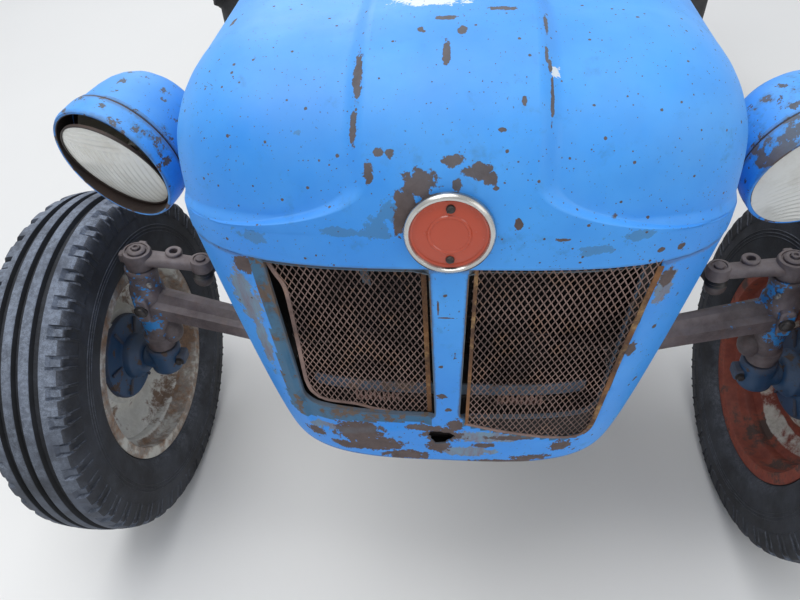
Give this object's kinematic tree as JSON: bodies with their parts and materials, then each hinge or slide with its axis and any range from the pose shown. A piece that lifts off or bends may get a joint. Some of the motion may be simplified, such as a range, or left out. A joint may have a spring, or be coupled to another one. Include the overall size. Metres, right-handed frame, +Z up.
{
  "type": "vintage tractor",
  "caption": "Vintage farm tractor with a rounded tilting bonnet, mesh grille, pod head lamps, swept front axle, steering linkage and rear hydraulic linkage.",
  "frame": {"origin": "middle of the box's base, on the ground", "axes": "+X to the tractor's left, +Y rearwards, +Z up; the nose faces -Y"},
  "size_m": [1.63, 3.0456, 1.384],
  "materials": {
    "blue_paint": "weathered gloss",
    "dark_blue_paint": "worn, oily",
    "casting": "oily, rusty",
    "rusty_steel": "rusted",
    "pump_metal": "dull",
    "radiator_metal": "dusty matt",
    "fan_paint": "faded",
    "rim_paint": "rusty, chalky",
    "tyre": "dusty",
    "badge_enamel": "glossy enamel",
    "lamp_glass": "fluted",
    "wheel_rim_plastic": "hard rubber, worn"
  },
  "bodies": {
    "chassis": {"front_bolster": "casting", "axle_beam": "casting", "radius_rods": "casting", "radiator": "radiator_metal", "fan": "fan_paint", "engine_block": "casting", "cylinder_head": "casting", "fuel_tank": "dark_blue_paint", "exhaust": "rusty_steel", "air_cleaner": "dark_blue_paint", "injection_pump": "pump_metal", "dynamo": "dark_blue_paint", "clutch_housing": "casting", "gearbox": "casting", "rear_axle": "casting", "hydraulic_cover": "casting", "drawbar": "casting", "steering_box": "dark_blue_paint", "dash_cowl": "blue_paint", "mudguards": "blue_paint", "footplates": "dark_blue_paint", "seat_spring": "casting", "seat": "dark_blue_paint", "pedals": "casting", "gear_levers": "casting"},
    "bonnet": {"bonnet": "blue_paint", "grille_shell": "blue_paint", "hinge_bar": "dark_blue_paint", "grille_mesh": "rusty_steel", "badge": "badge_enamel", "headlamps": "blue_paint", "lamp_glasses": "lamp_glass"},
    "knuckle_left": {"knuckle_left": "dark_blue_paint"},
    "knuckle_right": {"knuckle_right": "dark_blue_paint"},
    "front_wheel_left": {"front_tyre_left": "tyre", "front_rim_left": "rim_paint", "front_hub_left": "dark_blue_paint"},
    "front_wheel_right": {"front_tyre_right": "tyre", "front_rim_right": "rim_paint", "front_hub_right": "dark_blue_paint"},
    "rear_wheel_left": {"rear_tyre_left": "tyre", "rear_rim_left": "rim_paint"},
    "rear_wheel_right": {"rear_tyre_right": "tyre", "rear_rim_right": "rim_paint"},
    "steering_wheel": {"steering_wheel": "wheel_rim_plastic"},
    "drop_arm_left": {"drop_arm_left": "casting"},
    "drop_arm_right": {"drop_arm_right": "casting"},
    "drag_link_left": {"drag_link_left": "casting"},
    "drag_link_right": {"drag_link_right": "casting"},
    "lift_arms": {"lift_arms": "dark_blue_paint"},
    "lift_rod_left": {"lift_rod_left": "casting"},
    "lift_rod_right": {"lift_rod_right": "casting"},
    "lower_link_left": {"lower_link_left": "dark_blue_paint"},
    "lower_link_right": {"lower_link_right": "dark_blue_paint"}
  },
  "joints": [
    {"name": "bonnet_tilt", "type": "hinge", "parent": "chassis", "child": "bonnet", "pos_m": [0, -1.47606, 0.586], "axis": [1, 0, 0], "range_deg": [0, 78]},
    {"name": "steer_left", "type": "hinge", "parent": "chassis", "child": "knuckle_left", "pos_m": [0.625, -1.15606, 0.36711], "axis": [-0.1219, 0, 0.9925], "range_deg": [-40, 40]},
    {"name": "front_wheel_left_spin", "type": "hinge", "parent": "knuckle_left", "child": "front_wheel_left", "pos_m": [0.70697, -1.15606, 0.36496], "axis": [0.9997, 0, -0.0262], "continuous": true},
    {"name": "rear_wheel_left_spin", "type": "hinge", "parent": "chassis", "child": "rear_wheel_left", "pos_m": [0.67, 0.69894, 0.615], "axis": [1, 0, 0], "continuous": true},
    {"name": "drop_arm_left_turn", "type": "hinge", "parent": "chassis", "child": "drop_arm_left", "pos_m": [0.185, -0.36206, 0.868], "axis": [1, 0, 0], "range_deg": [-31, 31]},
    {"name": "drag_link_left_turn", "type": "hinge", "parent": "knuckle_left", "child": "drag_link_left", "pos_m": [0.47494, -1.15606, 0.60459], "axis": [-0.1219, 0, 0.9925], "range_deg": [-41, 41]},
    {"name": "steer_right", "type": "hinge", "parent": "chassis", "child": "knuckle_right", "pos_m": [-0.625, -1.15606, 0.36711], "axis": [0.1219, 0, 0.9925], "range_deg": [-40, 40]},
    {"name": "front_wheel_right_spin", "type": "hinge", "parent": "knuckle_right", "child": "front_wheel_right", "pos_m": [-0.70697, -1.15606, 0.36496], "axis": [0.9997, 0, 0.0262], "continuous": true},
    {"name": "rear_wheel_right_spin", "type": "hinge", "parent": "chassis", "child": "rear_wheel_right", "pos_m": [-0.67, 0.69894, 0.615], "axis": [1, 0, 0], "continuous": true},
    {"name": "drop_arm_right_turn", "type": "hinge", "parent": "chassis", "child": "drop_arm_right", "pos_m": [-0.185, -0.36206, 0.868], "axis": [1, 0, 0], "range_deg": [-31, 31]},
    {"name": "drag_link_right_turn", "type": "hinge", "parent": "knuckle_right", "child": "drag_link_right", "pos_m": [-0.47494, -1.15606, 0.60459], "axis": [0.1219, 0, 0.9925], "range_deg": [-41, 41]},
    {"name": "steering_wheel_turn", "type": "hinge", "parent": "chassis", "child": "steering_wheel", "pos_m": [0, -0.33206, 0.935], "axis": [0, 0.7071, 0.7071], "range_deg": [-445, 445]},
    {"name": "lift_arms_raise", "type": "hinge", "parent": "chassis", "child": "lift_arms", "pos_m": [0, 0.73894, 0.88], "axis": [1, 0, 0], "range_deg": [0, 50]},
    {"name": "lower_link_left_raise", "type": "hinge", "parent": "chassis", "child": "lower_link_left", "pos_m": [0.21, 0.72894, 0.405], "axis": [1, 0, 0], "range_deg": [0, 31]},
    {"name": "lift_rod_left_turn", "type": "hinge", "parent": "lift_arms", "child": "lift_rod_left", "pos_m": [0.23, 0.95902, 0.83322], "axis": [1, 0, 0], "range_deg": [-51, 0]},
    {"name": "lower_link_right_raise", "type": "hinge", "parent": "chassis", "child": "lower_link_right", "pos_m": [-0.21, 0.72894, 0.405], "axis": [1, 0, 0], "range_deg": [0, 31]},
    {"name": "lift_rod_right_turn", "type": "hinge", "parent": "lift_arms", "child": "lift_rod_right", "pos_m": [-0.23, 0.95902, 0.83322], "axis": [1, 0, 0], "range_deg": [-51, 0]}
  ],
  "couplings": [
    {"joint": "steer_right", "follows": "steer_left", "ratio": 1},
    {"joint": "steering_wheel_turn", "follows": "steer_left", "ratio": 11},
    {"joint": "drop_arm_left_turn", "follows": "steer_left", "ratio": -0.67459},
    {"joint": "drop_arm_right_turn", "follows": "steer_left", "ratio": 0.67459},
    {"joint": "drag_link_left_turn", "follows": "steer_left", "ratio": -1},
    {"joint": "drag_link_right_turn", "follows": "steer_left", "ratio": -1},
    {"joint": "lower_link_left_raise", "follows": "lift_arms_raise", "ratio": 0.598},
    {"joint": "lift_rod_left_turn", "follows": "lift_arms_raise", "ratio": -1},
    {"joint": "lower_link_right_raise", "follows": "lift_arms_raise", "ratio": 0.598},
    {"joint": "lift_rod_right_turn", "follows": "lift_arms_raise", "ratio": -1}
  ]
}
